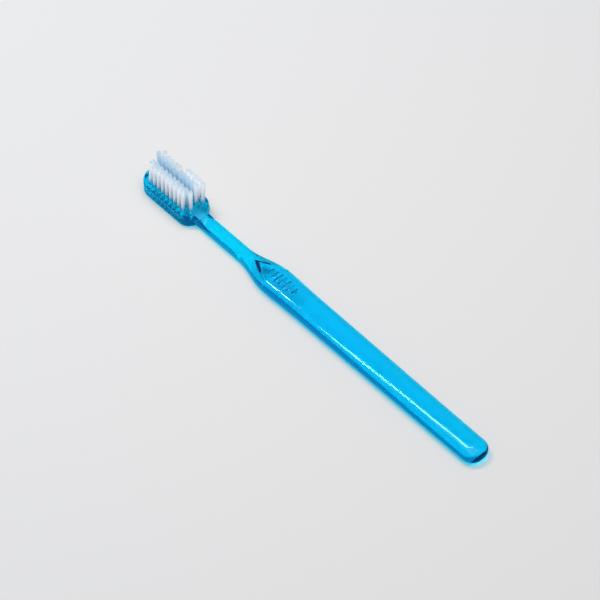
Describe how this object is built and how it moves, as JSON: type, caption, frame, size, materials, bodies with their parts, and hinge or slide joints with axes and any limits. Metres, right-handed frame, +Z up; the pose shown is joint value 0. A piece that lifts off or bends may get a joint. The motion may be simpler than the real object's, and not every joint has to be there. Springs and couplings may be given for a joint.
{
  "type": "manual toothbrush",
  "caption": "Manual toothbrush with a clear blue moulded handle, flat head with straight nylon tufts, slim neck, chevron step and cross ribs under the thumb, and a long rounded grip.",
  "frame": {"origin": "middle of the brush's length and width, on the surface that it lies on", "axes": "+X towards the rounded end of the grip, +Y across the brush, +Z up, the way the bristles point"},
  "size_m": [0.1846, 0.0136, 0.016],
  "materials": {
    "clear_blue_plastic": "clear blue injection-moulded plastic, polished, light passes through it",
    "nylon_bristle": "translucent white nylon filament, cut and rounded tips",
    "anchor_metal": "bright flat brass wire, cut edges"
  },
  "bodies": {
    "root": {"handle": "clear_blue_plastic", "tuft_1_1": "nylon_bristle", "tuft_1_2": "nylon_bristle", "tuft_1_3": "nylon_bristle", "tuft_1_4": "nylon_bristle", "tuft_1_5": "nylon_bristle", "tuft_1_6": "nylon_bristle", "tuft_1_7": "nylon_bristle", "tuft_1_8": "nylon_bristle", "tuft_1_9": "nylon_bristle", "tuft_2_1": "nylon_bristle", "tuft_2_2": "nylon_bristle", "tuft_2_3": "nylon_bristle", "tuft_2_4": "nylon_bristle", "tuft_2_5": "nylon_bristle", "tuft_2_6": "nylon_bristle", "tuft_2_7": "nylon_bristle", "tuft_2_8": "nylon_bristle", "tuft_2_9": "nylon_bristle", "tuft_2_10": "nylon_bristle", "tuft_3_1": "nylon_bristle", "tuft_3_2": "nylon_bristle", "tuft_3_3": "nylon_bristle", "tuft_3_4": "nylon_bristle", "tuft_3_5": "nylon_bristle", "tuft_3_6": "nylon_bristle", "tuft_3_7": "nylon_bristle", "tuft_3_8": "nylon_bristle", "tuft_3_9": "nylon_bristle", "tuft_3_10": "nylon_bristle", "tuft_4_1": "nylon_bristle", "tuft_4_2": "nylon_bristle", "tuft_4_3": "nylon_bristle", "tuft_4_4": "nylon_bristle", "tuft_4_5": "nylon_bristle", "tuft_4_6": "nylon_bristle", "tuft_4_7": "nylon_bristle", "tuft_4_8": "nylon_bristle", "tuft_4_9": "nylon_bristle", "tuft_4_10": "nylon_bristle", "anchors_row_1": "anchor_metal", "anchors_row_2": "anchor_metal", "anchors_row_3": "anchor_metal", "anchors_row_4": "anchor_metal"}
  },
  "joints": []
}
